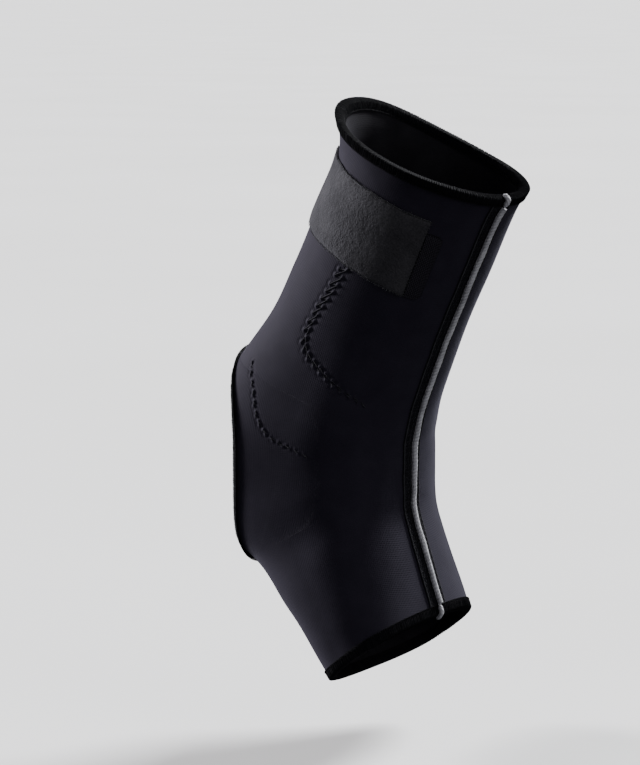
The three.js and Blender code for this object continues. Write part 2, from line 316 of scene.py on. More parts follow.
def tubes(shape, paths, radius, across, sides):
    """Adds thin closed tubes along paths of equally many points, across being square to the paths."""
    paths = np.asarray(paths, float)
    along = unit(np.gradient(paths, axis=1))
    across = np.broadcast_to(np.asarray(across, float), paths.shape)
    second = unit(np.cross(along, across))
    first = unit(np.cross(second, along))
    turn = np.linspace(0, 2 * math.pi, sides, endpoint=False)
    taper = np.ones(paths.shape[1])
    taper[[0, -1]] = TIP
    spread = np.cos(turn)[:, None] * first[:, :, None] + np.sin(turn)[:, None] * second[:, :, None]
    rings = paths[:, :, None] + radius * taper[None, :, None, None] * spread
    run = lengths(paths, 1)
    cloth = np.stack([np.broadcast_to(turn * radius, rings.shape[:3]),
                      np.broadcast_to(run[:, :, None], rings.shape[:3])], -1)
    n = shape.add(rings, cloth)
    around = np.concatenate([n, n[:, :, :1]], 2)
    here, ahead = around[:, :-1], around[:, 1:]
    quads = np.stack([here[..., :-1], here[..., 1:], ahead[..., 1:], ahead[..., :-1]], -1)
    shape.faces += quads.reshape(-1, 4).tolist()
    shape.faces += n[:, 0, ::-1].tolist()
    shape.faces += n[:, -1].tolist()


def stitches(shape, start, end, normal, rise, dive, radius):
    """Adds threads between two rows of needle holes: each dives at its ends and rises between them."""
    u = np.linspace(0, 1, THREAD_STEPS)[None, :, None]
    bow = np.sin(math.pi * u) ** 0.6
    height = rise * bow - dive * (1 - bow)
    normal = np.broadcast_to(normal, start.shape)[:, None]
    paths = start[:, None] + (end - start)[:, None] * u + normal * height
    tubes(shape, paths, radius, np.cross(end - start, normal[:, 0])[:, None], THREAD_SIDES)


# Materials.
def new_material(name, color, roughness, **sockets):
    """A material with its shader's own values set, and its node tree and shader."""
    material = bpy.data.materials.new(name)
    material.use_nodes = True
    tree = material.node_tree
    shader = tree.nodes["Principled BSDF"]
    shader.inputs["Base Color"].default_value = (*color, 1)
    shader.inputs["Roughness"].default_value = roughness
    for socket, value in sockets.items():
        shader.inputs[socket.replace("_", " ")].default_value = value
    return material, tree, shader


def add_node(tree, kind, inputs=(), **settings):
    """A node with its settings and inputs, each input a value or another node's output."""
    node = tree.nodes.new(kind)
    for key, value in settings.items():
        setattr(node, key, value)
    for socket, value in dict(inputs).items():
        if isinstance(value, bpy.types.NodeSocket):
            tree.links.new(value, node.inputs[socket])
        else:
            node.inputs[socket].default_value = value
    return node


def maths(tree, operation, *values):
    """A Math node's output."""
    return add_node(tree, "ShaderNodeMath", dict(enumerate(values)), operation=operation).outputs[0]


def cloth_uv(tree):
    """A point's place on the flat cloth, in millimetres, across and along."""
    cloth = add_node(tree, "ShaderNodeUVMap", uv_map="cloth").outputs[0]
    parts = add_node(tree, "ShaderNodeSeparateXYZ", {0: cloth}).outputs
    return parts[0], parts[1]


def ripple(tree, value, pitch, phase=0.0):
    """A sine of a length in millimetres that repeats at a pitch, set off by a phase."""
    turns = maths(tree, "MULTIPLY", value, 2 * math.pi / pitch)
    return maths(tree, "SINE", maths(tree, "ADD", turns, phase))


def noise(tree, size, detail):
    """Noise whose lumps are about size millimetres wide."""
    place = add_node(tree, "ShaderNodeTexCoord").outputs["Object"]
    inputs = {"Vector": place, "Scale": 1000 / size, "Detail": detail}
    return add_node(tree, "ShaderNodeTexNoise", inputs).outputs[0]


def ramp(tree, value, *stops):
    """Colours blended along a value: each stop is a place and a colour."""
    node = add_node(tree, "ShaderNodeValToRGB", {0: value})
    while len(node.color_ramp.elements) < len(stops):
        node.color_ramp.elements.new(0.5)
    for element, (at, color) in zip(node.color_ramp.elements, stops):
        element.position = at
        element.color = (*color, 1)
    return node.outputs[0]


def set_bump(tree, shader, height, depth):
    """Bump whose height of one stands for a depth in millimetres."""
    inputs = {"Height": height, "Strength": 1.0, "Distance": depth / 1000}
    bump = add_node(tree, "ShaderNodeBump", inputs)
    tree.links.new(bump.outputs[0], shader.inputs["Normal"])


def set_color(tree, shader, value, *stops):
    """The shader's colour, blended along a value."""
    tree.links.new(ramp(tree, value, *stops), shader.inputs["Base Color"])


def knit(name, dark, light, roughness, sheen):
    """Knitted jersey on foam: rows of small Vs, faint blotches and a soft nap."""
    material, tree, shader = new_material(
        name, dark, roughness, Sheen_Weight=sheen, Sheen_Roughness=0.35,
        Sheen_Tint=(0.82, 0.8, 1, 1), Specular_IOR_Level=0.1)
    across, along = cloth_uv(tree)
    wales = maths(tree, "ABSOLUTE", ripple(tree, across, pitch=1.8))
    lean = maths(tree, "MULTIPLY", wales, 1.6)
    courses = ripple(tree, along, pitch=0.9, phase=lean)
    loops = maths(tree, "MULTIPLY_ADD", courses, 0.5, wales)
    height = maths(tree, "MULTIPLY_ADD", noise(tree, size=6, detail=4), 1.5, loops)
    set_bump(tree, shader, height, depth=0.035)
    blotches = maths(tree, "MULTIPLY_ADD", courses, 0.03, noise(tree, size=9, detail=3))
    set_color(tree, shader, blotches, (0.3, dark), (0.75, light))
    return material


def thread(name, dark, light, roughness, sheen):
    """Spun thread: its twist and small changes of shade."""
    material, tree, shader = new_material(
        name, dark, roughness, Sheen_Weight=sheen, Sheen_Roughness=0.5, Specular_IOR_Level=0.1)
    around, along = cloth_uv(tree)
    twist = ripple(tree, maths(tree, "ADD", along, around), pitch=0.5)
    set_bump(tree, shader, twist, depth=0.05)
    shade = maths(tree, "MULTIPLY_ADD", twist, 0.15, noise(tree, size=2, detail=2))
    set_color(tree, shader, shade, (0.25, dark), (0.8, light))
    return material


def twill(name, dark, light):
    """Narrow woven tape with fine diagonal ribs."""
    material, tree, shader = new_material(
        name, dark, 0.75, Sheen_Weight=0.03, Sheen_Roughness=0.4, Specular_IOR_Level=0.1)
    across, along = cloth_uv(tree)
    ribs = ripple(tree, maths(tree, "ADD", along, across), pitch=0.8)
    picks = ripple(tree, maths(tree, "SUBTRACT", along, across), pitch=0.8)
    height = maths(tree, "MULTIPLY_ADD", picks, 0.35, ribs)
    set_bump(tree, shader, height, depth=0.04)
    shade = maths(tree, "MULTIPLY_ADD", ribs, 0.12, noise(tree, size=4, detail=3))
    set_color(tree, shader, shade, (0.3, dark), (0.8, light))
    return material


def cord_cover():
    """Light grey twisted piping, with painted shade in the hollows between its strands."""
    dark, light = (0.45, 0.45, 0.48), (0.72, 0.72, 0.76)
    material, tree, shader = new_material(
        "piping_yarn", light, 0.6, Sheen_Weight=0.15, Sheen_Roughness=0.4, Specular_IOR_Level=0.25)
    across, along = cloth_uv(tree)
    strands = ripple(tree, maths(tree, "MULTIPLY_ADD", across, 0.8, along), pitch=1.5)
    fibres = ripple(tree, maths(tree, "MULTIPLY_ADD", across, -1.2, along), pitch=0.45)
    height = maths(tree, "MULTIPLY_ADD", fibres, 0.25, strands)
    set_bump(tree, shader, height, depth=0.07)
    # The colour follows the strands' bump: painted shade in their hollows, lighter on their crests.
    shade = maths(tree, "MULTIPLY_ADD", strands, 0.12, noise(tree, size=5, detail=4))
    set_color(tree, shader, shade, (0.28, dark), (0.62, light))
    return material


def brushed():
    """Brushed loop fabric: tangled fine loops over a knitted ground."""
    dark, light = (0.028, 0.027, 0.03), (0.075, 0.073, 0.08)
    material, tree, shader = new_material(
        "brushed_loops", dark, 0.9, Sheen_Weight=0.2, Sheen_Roughness=0.5,
        Sheen_Tint=(0.85, 0.88, 1, 1), Specular_IOR_Level=0.05)
    tangle = noise(tree, size=0.7, detail=5)
    tufts = noise(tree, size=2.6, detail=3)
    patches = noise(tree, size=12, detail=3)
    height = maths(tree, "MULTIPLY_ADD", tangle, 0.8, tufts)
    set_bump(tree, shader, height, depth=0.5)
    shade = maths(tree, "MULTIPLY", maths(tree, "ADD", tangle, patches), 0.5)
    set_color(tree, shader, shade, (0.32, dark), (0.68, light))
    return material


def hooks():
    """Black hook tape: close rows of tiny hooks on a woven ground."""
    dark, light = (0.016, 0.014, 0.02), (0.028, 0.025, 0.034)
    material, tree, shader = new_material("hook_rows", dark, 0.65, Specular_IOR_Level=0.15)
    across, along = cloth_uv(tree)
    rows = maths(tree, "MULTIPLY", ripple(tree, across, pitch=1.1), ripple(tree, along, pitch=1.3))
    set_bump(tree, shader, rows, depth=0.15)
    shade = maths(tree, "MULTIPLY_ADD", rows, 0.25, noise(tree, size=1, detail=3))
    set_color(tree, shader, shade, (0.3, dark), (0.9, light))
    return material


NEOPRENE = knit("neoprene_jersey", (0.0205, 0.018, 0.029), (0.0265, 0.0235, 0.0365),
                roughness=0.8, sheen=0.12)
LINING = knit("neoprene_lining", (0.012, 0.011, 0.014), (0.02, 0.019, 0.023),
              roughness=0.9, sheen=0.05)
OVERLOCK = thread("overlock_thread", (0.003, 0.003, 0.005), (0.007, 0.007, 0.01),
                  roughness=0.85, sheen=0.02)
SEWING = thread("sewing_thread", (0.014, 0.013, 0.02), (0.04, 0.039, 0.052),
                roughness=0.7, sheen=0.1)
# The tape's edge cord is coloured far lighter than the tape: a painted highlight along both edges of the
# tape.
SELVEDGE_PAINTED_HIGHLIGHT = thread("selvedge_cord_painted_highlight", (0.03, 0.03, 0.036), (0.075, 0.075, 0.085),
                  roughness=0.75, sheen=0.1)
FUZZ = thread("strap_fibres", (0.06, 0.06, 0.066), (0.13, 0.13, 0.14),
              roughness=0.9, sheen=0.2)
TAPE = twill("seam_tape_twill", (0.004, 0.004, 0.006), (0.009, 0.009, 0.013))
PIPING = cord_cover()
LOOPS = brushed()
HOOKS = hooks()

# The sleeve: an outer and an inner face, joined along every edge.
LEG_ROWS = 105
HEEL_ROWS = 84
FOOT_ROWS = 42
HALF_COLUMNS = 120
COLUMN_RATIO = 4  # columns of the outer face to one of the inner
WELD = 0.002


def heel_places(count):
    """Places along the heel mouth, closer together towards its two ends."""
    return HEEL_TOP + (HEEL_BOTTOM - HEEL_TOP) * (1 - np.cos(np.linspace(0, math.pi, count))) / 2


ROW_PLACES = np.concatenate([
    np.linspace(0, HEEL_TOP, LEG_ROWS, endpoint=False),
    heel_places(HEEL_ROWS + 1)[:-1],
    np.linspace(HEEL_BOTTOM, LAST, FOOT_ROWS + 1),
])


def half_grid(columns, side, lift):
    """The points of one face of the sleeve's outer (1) or inner (-1) side, row by row."""
    t = ROW_PLACES[:, None]
    across = np.linspace(0, 1, columns + 1)[None]
    first = angle_aside(t, SEAM_GAP / 2)
    cut = math.pi - heel_angle(t)
    angle = first + (math.pi - first) * across - cut * across ** 2
    return surface(t, side * angle, lift)


# The two curves sewn on the outer side: each one's places and angles in degrees, the width between
# its two rows of needle holes at its start and its end, the holes' pitch and depth, and the
# radius of its thread.
CURVES = (
    {"route": ((3.3, 94), (3.55, 96), (3.8, 97.5), (4.05, 99.5), (4.3, 100.5), (4.5, 101), (4.67, 100),
               (4.8, 97), (4.9, 92), (4.97, 86), (5.04, 77), (5.1, 66), (5.17, 54), (5.25, 44)),
     "width": (3.6, 1), "pitch": 3.9, "thread": 0.22, "depth": 0.75},
    {"route": ((5.42, 125), (5.52, 121), (5.62, 115.5), (5.72, 110), (5.85, 105.5), (6, 102),
               (6.2, 98), (6.42, 94), (6.62, 90), (6.78, 84), (6.9, 77)),
     "width": (0.5, 0.5), "pitch": 4.3, "thread": 0.17, "depth": 0.45},
)
ROUTE_STEPS = 30
HOLE_RADIUS = 0.62
HOLE_WANDER = 0.22  # how unevenly the holes are spaced
HOLE_DEPTHS = (0.6, 1.1)  # the least and the greatest, as shares of the curve's depth
HOLE_FADE = 0.25  # the share to which the depth fades at a curve's end
PUCKER = 0.22  # how far the cloth bulges round a hole, as a share of its depth
PUCKER_RADIUS = 1.5
PUCKER_SPREAD = 0.6
DENT_REACH = 6
FINER_REACH = 3.6  # how near a hole the mesh is made finer
SINK_LIMIT = 1.1
BULGE_LIMIT = 0.4
FACING = 0.3  # the least cosine between a face and a hole's direction for both to be on one side


def smooth(rows, count):
    """Points on a smooth curve through rows, count to each step."""
    rows = np.asarray(rows, float)
    padded = np.concatenate([2 * rows[:1] - rows[1:2], rows, 2 * rows[-1:] - rows[-2:-1]])
    u = (np.arange(count) / count)[:, None]
    spans = []
    for a, b, c, d in zip(padded, padded[1:], padded[2:], padded[3:]):
        spans.append(between(a, b, c, d, u))
    return np.concatenate([*spans, rows[-1:]])


def normals(t, angle):
    """The sleeve's outward directions at places t and angles."""
    step = 0.01
    around = surface(t, angle + step) - surface(t, angle - step)
    along = surface(t + step, angle) - surface(t - step, angle)
    return unit(np.cross(along, around))


def seam_holes(curve):
    """A sewn curve's two rows of needle holes, with the outward direction and depth at each pair."""
    route = smooth(curve["route"], ROUTE_STEPS)
    t, angle = route[:, 0], np.radians(route[:, 1])
    run = lengths(surface(t, angle)[None], 1)[0]
    at = np.arange(0.5, run[-1] / curve["pitch"] - 0.3) * curve["pitch"]
    t, angle = np.interp(at, run, t), np.interp(at, run, angle)
    middle, out = surface(t, angle), normals(t, angle)
    along = unit(np.gradient(middle, axis=0))
    aside = unit(np.cross(out, along)) * np.linspace(*curve["width"], len(t))[:, None] / 2
    lag = along * curve["pitch"] / 4
    random = np.random.default_rng(3)
    left = middle + aside + lag + along * random.normal(0, HOLE_WANDER, (len(t), 1))
    right = middle - aside - lag + along * random.normal(0, HOLE_WANDER, (len(t), 1))
    fade = np.clip(4 * (1 - at / run[-1]), HOLE_FADE, 1)
    return left, right, out, curve["depth"] * fade * random.uniform(*HOLE_DEPTHS, len(t))


def dent(piece, holes, out, depths):
    """Makes the mesh finer round the needle holes and sinks a dimple at each, puckered up around."""
    work = bmesh.new()
    work.from_mesh(piece.data)

    def close(face):
        """Whether a face is near a needle hole, on the side of the cloth that it pierces."""
        gap = np.linalg.norm(holes - np.array(face.calc_center_median()) * 1000, axis=1)
        nearest = int(gap.argmin())
        return gap[nearest] < FINER_REACH and face.normal.dot(Vector(out[nearest])) > FACING

    edges = list({edge for face in work.faces if close(face) for edge in face.edges})
    bmesh.ops.subdivide_edges(work, edges=edges, cuts=2, use_grid_fill=True)
    work.normal_update()
    points = np.array([v.co for v in work.verts]) * 1000
    facing = np.array([v.normal for v in work.verts])
    move = np.zeros(len(points))
    for hole, direction, depth in zip(holes, out, depths):
        gap = np.linalg.norm(points - hole, axis=1)
        local = (gap < DENT_REACH) & (facing @ direction > FACING)
        ring = np.exp(-((gap[local] - PUCKER_RADIUS) / PUCKER_SPREAD) ** 2)
        move[local] += PUCKER * ring * depth - depth * np.exp(-(gap[local] / HOLE_RADIUS) ** 2)
    points += facing * np.clip(move, -SINK_LIMIT, BULGE_LIMIT)[:, None]
    for vertex, point in zip(work.verts, points / 1000):
        vertex.co = point
    work.to_mesh(piece.data)
    work.free()
    piece.data.polygons.foreach_set("use_smooth", [True] * len(piece.data.polygons))


def make_sleeve():
    """The sleeve's shell: both faces of both sides, welded at the back."""
    shape = Shape()
    lined = []
    for side in (1, -1):
        flip = side < 0
        outer = half_grid(HALF_COLUMNS, side, 0)
        inner = half_grid(HALF_COLUMNS // COLUMN_RATIO, side, -WALL)
        face = shape.add(outer, cloth_of(outer))
        back = shape.add(inner, cloth_of(inner))
        shape.grid(face, flip)
        first = len(shape.faces)
        shape.grid(back, not flip)
        lined += range(first, len(shape.faces))
        shape.grid(np.stack([face[:, 0], back[:, 0]]), not flip)
        opening = slice(LEG_ROWS, LEG_ROWS + HEEL_ROWS + 1)
        shape.grid(np.stack([face[opening, -1], back[opening, -1]]), flip)
        shape.bridge(face[0], back[0], not flip)
        shape.bridge(face[-1], back[-1], flip)
    return make_object("sleeve_shell", shape, NEOPRENE, "sleeve", WELD, LINING, lined)


def sew_curves(piece):
    """The threads of the sewn curves, one piece, and their dimples in the sleeve."""
    shape = Shape()
    holes, directions, depths = [], [], []
    for curve in CURVES:
        left, right, out, depth = seam_holes(curve)
        form = {"rise": 0.1, "dive": 0.55, "radius": curve["thread"]}
        stitches(shape, left, right, out, **form)
        stitches(shape, right[:-1], left[1:], out[1:], **form)
        holes += [left, right]
        directions += [out, out]
        depths += [depth, depth]
    dent(piece, np.concatenate(holes), np.concatenate(directions), np.concatenate(depths))
    return make_object("curve_stitching", shape, SEWING, "sleeve")


ZIGZAG_COUNT = 91
ZIGZAG_WIDTH = 4.4
ZIGZAG_INSET = 6  # from either mouth
ZIGZAG_LIFT = 0.05  # off the inner face


def sew_inner_seam():
    """The zigzag thread that joins the sleeve's two edges, on its inner face."""
    t = np.linspace(below_top(ZIGZAG_INSET), above_toe(ZIGZAG_INSET), ZIGZAG_COUNT + 1)
    shape = Shape()
    left_angle, right_angle = (angle_aside(t[:-1], k * ZIGZAG_WIDTH / 2) for k in (1, -1))
    left = surface(t[:-1], left_angle, -WALL - ZIGZAG_LIFT)
    right = surface((t[1:] + t[:-1]) / 2, right_angle, -WALL - ZIGZAG_LIFT)
    inward = -normals(t[:-1], left_angle)
    form = {"rise": 0.25, "dive": 0.1, "radius": 0.22}
    stitches(shape, left, right, inward, **form)
    stitches(shape, right[:-1], left[1:], inward[1:], **form)
    return make_object("inner_seam_stitching", shape, SEWING, "sleeve")


# Bindings: a rounded cover over an edge of the wall, with overlock threads across it.
def resampled(values, run, at):
    """Values given along a running length, at other lengths."""
    return np.stack([np.interp(at, run, values[:, k]) for k in range(3)], -1)


def closed_route(edge, out, into, spacing):
    """Evenly spaced points in the middle of a closed edge, and three directions at each.

    The directions are out of the wall's outer face, into the wall and along the edge."""
    edge, out, into = (np.concatenate([v, v[:1]]) for v in (edge, out, into))
    run = lengths(edge[None], 1)[0]
    count = round(run[-1] / spacing)
    at = np.arange(count) / count * run[-1]
    edge, out, into = (resampled(v, run, at) for v in (edge, out, into))
    along = unit(np.roll(edge, -1, 0) - np.roll(edge, 1, 0))
    out = unit(out - (out * along).sum(-1, keepdims=True) * along)
    into = unit(into - (into * along).sum(-1, keepdims=True) * along)
    return edge, out, into, along


def rim_route(edge_t, deep_t, spacing):
    """The route round a mouth at one place, with the wall running towards another."""
    angle = np.linspace(0, 2 * math.pi, 720, endpoint=False)
    outer, inner = surface(edge_t, angle), surface(edge_t, angle, -WALL)
    deep = (surface(deep_t, angle) + surface(deep_t, angle, -WALL)) / 2
    middle = (outer + inner) / 2
    return closed_route(middle, unit(outer - inner), unit(deep - middle), spacing)


def top_route(spacing):
    """The route round the top mouth."""
    return rim_route(0, below_top(RIM_BINDING_DEPTH), spacing)


def toe_route(spacing):
    """The route round the toe mouth."""
    return rim_route(LAST, above_toe(RIM_BINDING_DEPTH), spacing)


def heel_route(spacing):
    """The route round the heel mouth: down its outer side and up its inner side."""
    t = heel_places(240)
    angle = heel_angle(t)
    t, angle = np.concatenate([t, t[-2:0:-1]]), np.concatenate([angle, -angle[-2:0:-1]])
    outer, inner = surface(t, angle), surface(t, angle, -WALL)
    middle = (outer + inner) / 2
    out = unit(outer - inner)
    along = unit(np.roll(middle, -1, 0) - np.roll(middle, 1, 0))
    into = np.cross(out, along)
    from_centre = middle - middle.mean(0)
    into *= np.sign((into * from_centre).sum(-1, keepdims=True))
    return closed_route(middle, out, unit(into), spacing)


def fold_points(half, depth, tip):
    """A rounded fold over an edge: places across and into the wall, from the outer side to the inner."""
    turn = np.linspace(0, math.pi, 9)
    over = np.stack([half * np.cos(turn), -tip * np.sin(turn)], -1)
    down = np.linspace(depth, 0, 4)[:-1]
    outer = np.stack([np.full(3, half), down], -1)
    inner = np.stack([np.full(3, -half), down[::-1]], -1)
    return np.concatenate([outer, over, inner])


COVER_LIFT = 0.42  # the cover's outer face over the wall's
COVER_WALL = 0.4
COVER_ROUND = 0.25  # how much further the fold's tip stands off the edge
COVER_STEP = 1.4
THREAD_RADIUS = 0.22
THREAD_PITCH = 1
THREAD_LIFT = 0.08  # the threads' middle over the cover
THREAD_SLANT = 0.45
THREAD_WANDER = 0.12
THREAD_UNEVEN = 0.03
CHAIN_RADIUS = 0.17
CHAIN_INSET = 0.15  # from the cover's edge
CHAIN_LIFT = 0.1
CHAIN_BOW = 0.45
CHAIN_OVERLAP = 0.25


def make_edging(name, node, route_of, depth, seed):
    """A folded cover over an edge, the threads across it and a chain of thread along each side."""
    shape = Shape()
    edge, out, into, along = route_of(COVER_STEP)
    half = WALL / 2 + COVER_LIFT
    tip = COVER_LIFT + COVER_ROUND
    outline = np.concatenate([
        fold_points(half, depth, tip),
        fold_points(half - COVER_WALL, depth, tip - COVER_WALL)[::-1],
    ])
    rings = edge[:, None] + out[:, None] * outline[:, :1] + into[:, None] * outline[:, 1:]
    rings = np.concatenate([rings, rings[:1]])
    rings = np.concatenate([rings, rings[:, :1]], 1)
    numbers = shape.add(rings[:-1, :-1], cloth_of(rings)[:-1, :-1])
    numbers = np.concatenate([numbers, numbers[:1]])
    left_handed = (np.cross(out, into) * along).sum() < 0
    shape.grid(np.concatenate([numbers, numbers[:, :1]], 1), left_handed)

    random = np.random.default_rng(seed)
    edge, out, into, along = route_of(THREAD_PITCH)
    wander = random.normal(0, THREAD_WANDER, (len(edge), 1, 1))
    fold = fold_points(half + THREAD_LIFT, depth + 0.1, tip + THREAD_LIFT)
    slant = np.linspace(-THREAD_SLANT, THREAD_SLANT, len(fold))[:, None] + wander
    uneven = 1 + random.normal(0, THREAD_UNEVEN, (len(edge), 1, 1))
    paths = edge[:, None] + out[:, None] * fold[:, :1] * uneven + into[:, None] * fold[:, 1:]
    tubes(shape, paths + along[:, None] * slant, THREAD_RADIUS, along[:, None], THREAD_SIDES)

    for side in (1, -1):
        raised = side * out * CHAIN_LIFT
        here = edge + side * out * half + raised + into * (depth - CHAIN_INSET)
        ahead = np.roll(here, -1, 0)
        bow = (here + ahead) / 2 + raised * 1.2 + into * CHAIN_BOW
        start, end = (foot - into * CHAIN_OVERLAP for foot in (here, ahead))
        chain = np.stack([start, (here + bow) / 2 + raised, bow, (ahead + bow) / 2 + raised, end], 1)
        tubes(shape, chain, CHAIN_RADIUS, out[:, None], THREAD_SIDES)
    return make_object(name, shape, OVERLOCK, node)


# The tape and the piping on the front seam.
def seam_places(count):
    """Places along the front seam between the two rim bindings."""
    margin = RIM_BINDING_DEPTH + CLEARANCE
    return np.linspace(below_top(margin), above_toe(margin), count)


def seam_angle(t, aside):
    """The angle at t of a line a distance aside from the drifting middle of the tape."""
    return angle_aside(t, SEAM_ASIDE_TOP + (SEAM_ASIDE_TOE - SEAM_ASIDE_TOP) * t / LAST + aside)


def seam_run(t):
    """Running lengths along the front seam."""
    return lengths(surface(t, 0.0)[None], 1)[0]


def tape_wander(run):
    """How far the tape strays aside at running lengths along the seam."""
    return 0.12 * np.sin(run / 6) + 0.08 * np.sin(run / 2.4 + 1)


def rounded(across, power, edge, wall):
    """A sheet's thickness at places from -1 to 1 across it: the wall, thinning to the edge."""
    return edge + (wall - edge) * np.sqrt(np.clip(1 - np.abs(across) ** power, 0, 1))


TAPE_ROWS = 420
TAPE_EDGE = 0.2
SELVEDGE_RISE = 0.2
SELVEDGE_PLACE = 0.95  # in halves of the tape's width, like its spread
SELVEDGE_SPREAD = 0.04
SELVEDGE_RADIUS = 0.3
SELVEDGE_LIFT = 0.45
STITCH_ROWS = (-4.7, -2.5, 2.5, 4.7)  # aside of the tape's middle
STITCH_PITCH = 2.6
STITCH_LENGTH = 1.9
STITCH_SLANT = 0.35
PULL_DEPTH = 0.18  # how deep the stitches pull the tape in
PULL_CHANGE = 0.12  # and how much more or less it is along a stitch
PULL_SPREAD = 0.45


def make_tape():
    """Woven tape with a raised selvedge along each side, pulled in where it is sewn."""
    t = seam_places(TAPE_ROWS)
    run = seam_run(t)[:, None]
    t = t[:, None]
    across = np.linspace(-1, 1, 41)[None]
    aside = across * TAPE_WIDTH / 2
    selvedge = SELVEDGE_RISE * np.exp(-((np.abs(across) - SELVEDGE_PLACE) / SELVEDGE_SPREAD) ** 2)
    pulled = sum(np.exp(-((aside - row) / PULL_SPREAD) ** 2) for row in STITCH_ROWS)
    pulled = pulled * (PULL_DEPTH + PULL_CHANGE * np.cos(2 * math.pi * run / STITCH_PITCH))
    angle = seam_angle(t, aside + tape_wander(run))
    wall = rounded(across, 24, TAPE_EDGE, TAPE_TOP - CLEARANCE)
    shape = Shape()
    slab(shape, surface(t, angle, CLEARANCE + wall + selvedge - pulled), surface(t, angle, CLEARANCE))
    return make_object("tape_cover", shape, TAPE, "seam_tape")


def make_selvedges():
    """The fine cord along each edge of the tape, coloured lighter than the tape as a painted highlight."""
    shape = Shape()
    t = seam_places(TAPE_ROWS)
    for side in (-1, 1):
        angle = seam_angle(t, side * (TAPE_WIDTH / 2 + 0.1) + tape_wander(seam_run(t)))
        path = surface(t, angle, CLEARANCE + SELVEDGE_LIFT)
        tubes(shape, path[None], SELVEDGE_RADIUS, normals(t, angle)[None], sides=8)
    return make_object("tape_selvedges", shape, SELVEDGE_PAINTED_HIGHLIGHT, "seam_tape")


def sew_tape():
    """Slanting stitches along the tape's sides and beside the piping."""
    shape = Shape()
    t = seam_places(600)
    run = seam_run(t)
    at = np.arange(0.4, run[-1] - STITCH_PITCH, STITCH_PITCH)
    start, end = np.interp(at, run, t), np.interp(at + STITCH_LENGTH, run, t)
    lift = TAPE_TOP - 0.12
    for row in STITCH_ROWS:
        slant = STITCH_SLANT * np.sign(row)
        a = surface(start, seam_angle(start, row - slant), lift)
        b = surface(end, seam_angle(end, row + slant), lift)
        stitches(shape, a, b, normals(start, seam_angle(start, row)), rise=0.16, dive=0.3, radius=0.19)
    return make_object("tape_stitching", shape, SEWING, "seam_tape")


PIPING_TWIST = 0.035  # how far the cord's strands stand out
PIPING_TWIST_PITCH = 2.1
PIPING_UNEVEN = 0.07  # how much its radius changes along it
PIPING_TURN = 1.22  # how far its face reaches round from either side, in half turns
PIPING_END_TURN = 0.55  # how far an end turns over the rim, in half turns
PIPING_END_REACH = 1.35  # how far it stands off the rim
PIPING_END_DEPTHS = (RIM_BINDING_DEPTH - 0.1, 1.6)  # its straight stretch, below the rim


def piping_wander(run):
    """How far the piping strays aside at running lengths along the seam."""
    return 0.16 * np.sin(run / 11) + 0.12 * np.sin(run / 4.3) + 0.08 * np.sin(run / 1.9)


def make_piping():
    """The round piping cord in the middle of the tape, uneven along its length."""
    t = seam_places(520)
    run = seam_run(t)[:, None]
    t = t[:, None]
    around = np.linspace((1 - PIPING_TURN) * math.pi, PIPING_TURN * math.pi, 25)[None]
    radius = PIPING_WIDTH / 2 + PIPING_TWIST * np.sin(2 * math.pi * run / PIPING_TWIST_PITCH + 2 * around)
    radius = radius + PIPING_UNEVEN * np.sin(run / 9) * np.sin(run / 3.7 + 1)
    middle = PIPING_BASE + PIPING_HEIGHT - PIPING_WIDTH / 2
    angle = seam_angle(t, radius * np.cos(around) + piping_wander(run))
    shape = Shape()
    slab(shape, surface(t, angle, middle + radius * np.sin(around)), surface(t, angle, PIPING_BASE))
    return make_object("piping_cord", shape, PIPING, "seam_piping")


def make_piping_ends():
    """The piping's two turned ends, sewn down over the rim bindings."""
    shape = Shape()
    half = WALL / 2 + COVER_LIFT + PIPING_WIDTH / 2
    turn = np.linspace(0, PIPING_END_TURN * math.pi, 6)
    over = np.stack([half * np.cos(turn), -PIPING_END_REACH * np.sin(turn)], -1)
    outline = np.concatenate([[(half, depth) for depth in PIPING_END_DEPTHS], over])
    for route_of, aside in ((top_route, SEAM_ASIDE_TOP), (toe_route, SEAM_ASIDE_TOE)):
        edge, out, into, along = (v[0] for v in route_of(COVER_STEP))
        path = edge + out * outline[:, :1] + into * outline[:, 1:]
        path[:, 1] -= aside
        tubes(shape, path[None], PIPING_WIDTH / 2, along, sides=12)
    return make_object("piping_ends", shape, PIPING, "seam_piping")


# The strap round the calf and its hook tab.
STRAP_FURTHEST = 360 - STRAP_ANCHOR_ANGLE  # the anchored end's angle, going round the back
STRAP_EDGE = 0.4
TAB_EDGE = 0.3


def leg_patch(distances, angles, lift):
    """A grid of points on the leg at distances below the top mouth and angles in degrees."""
    return surface(below_top(distances), np.radians(angles), lift)


def leg_slab(shape, distances, angles, wall):
    """Adds a sheet of a thickness over a patch of the leg, a clearance off it."""
    top = leg_patch(distances, angles, CLEARANCE + wall)
    slab(shape, top, leg_patch(distances, angles, CLEARANCE))


def make_strap():
    """The brushed strap round the back of the calf, its two edges a little wavy."""
    along = np.linspace(STRAP_FURTHEST, STRAP_END_ANGLE, 240)[None]
    across = np.linspace(-1, 1, 45)[:, None]
    wave = 0.25 * np.sin(np.radians(along) * 9) + 0.15 * np.sin(np.radians(along) * 23 + 1)
    distance = STRAP_BELOW_TOP + STRAP_WIDTH / 2 + (STRAP_WIDTH / 2 + wave) * across
    shape = Shape()
    leg_slab(shape, distance, along, rounded(across, 16, STRAP_EDGE, STRAP_WALL))
    return make_object("strap_fabric", shape, LOOPS, "calf_strap")


EDGE_FIBRES = 900  # along each edge
END_FIBRES = 160
FACE_FIBRES = 2600
FIBRE_RADIUS = 0.055
FIBRE_CURL = 0.15
FIBRE_SWING = 0.6  # degrees


